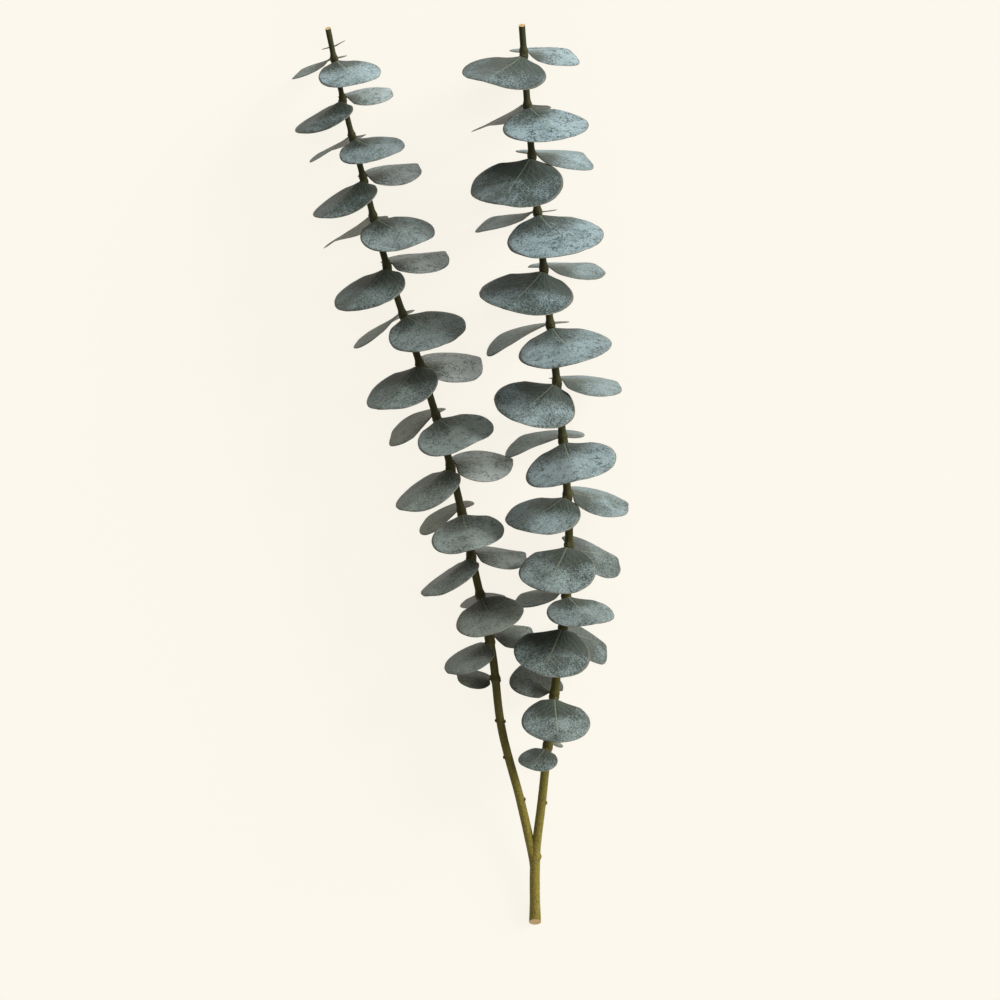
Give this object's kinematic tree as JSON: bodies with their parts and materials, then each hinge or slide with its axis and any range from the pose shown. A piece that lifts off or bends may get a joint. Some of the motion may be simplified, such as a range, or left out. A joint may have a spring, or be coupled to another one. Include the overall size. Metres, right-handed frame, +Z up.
{
  "type": "eucalyptus branch",
  "caption": "Cut, forked eucalyptus branch lying down: round blue-grey leaves in opposite pairs, each pair turned from the next, on two slim brown-green shoots.",
  "frame": {"origin": "middle of the branch's box, on the surface that it lies on", "axes": "+Y from the cut foot towards the tips, +X towards the right shoot, +Z up from the surface"},
  "size_m": [0.1792, 0.5062, 0.0812],
  "materials": {
    "leaf": "matt waxy bloom",
    "stem": "satin bark"
  },
  "bodies": {
    "root": {"leaf_left_01_back": "leaf", "leaf_left_01_front": "leaf", "leaf_left_02_left": "leaf", "leaf_left_02_right": "leaf", "leaf_left_03_back": "leaf", "leaf_left_03_front": "leaf", "leaf_left_04_left": "leaf", "leaf_left_04_right": "leaf", "leaf_left_05_back": "leaf", "leaf_left_05_front": "leaf", "leaf_left_06_left": "leaf", "leaf_left_06_right": "leaf", "leaf_left_07_back": "leaf", "leaf_left_07_front": "leaf", "leaf_left_08_left": "leaf", "leaf_left_08_right": "leaf", "leaf_left_09_back": "leaf", "leaf_left_09_front": "leaf", "leaf_left_10_left": "leaf", "leaf_left_10_right": "leaf", "leaf_left_11_back": "leaf", "leaf_left_11_front": "leaf", "leaf_left_12_left": "leaf", "leaf_left_12_right": "leaf", "leaf_left_13_back": "leaf", "leaf_left_13_front": "leaf", "leaf_left_14_left": "leaf", "leaf_left_14_right": "leaf", "leaf_left_15_left": "leaf", "leaf_right_01_left": "leaf", "leaf_right_01_right": "leaf", "leaf_right_02_back": "leaf", "leaf_right_02_front": "leaf", "leaf_right_03_left": "leaf", "leaf_right_03_right": "leaf", "leaf_right_04_back": "leaf", "leaf_right_04_front": "leaf", "leaf_right_05_left": "leaf", "leaf_right_05_right": "leaf", "leaf_right_06_back": "leaf", "leaf_right_06_front": "leaf", "leaf_right_07_left": "leaf", "leaf_right_07_right": "leaf", "leaf_right_08_back": "leaf", "leaf_right_08_front": "leaf", "leaf_right_09_left": "leaf", "leaf_right_09_right": "leaf", "leaf_right_10_left": "leaf", "leaf_right_10_right": "leaf", "leaf_right_11_back": "leaf", "leaf_right_11_front": "leaf", "leaf_right_12_left": "leaf", "leaf_right_12_right": "leaf", "leaf_right_13_back": "leaf", "leaf_right_13_front": "leaf", "leaf_right_14_back": "leaf", "leaf_right_14_front": "leaf", "stem": "stem"}
  },
  "joints": []
}
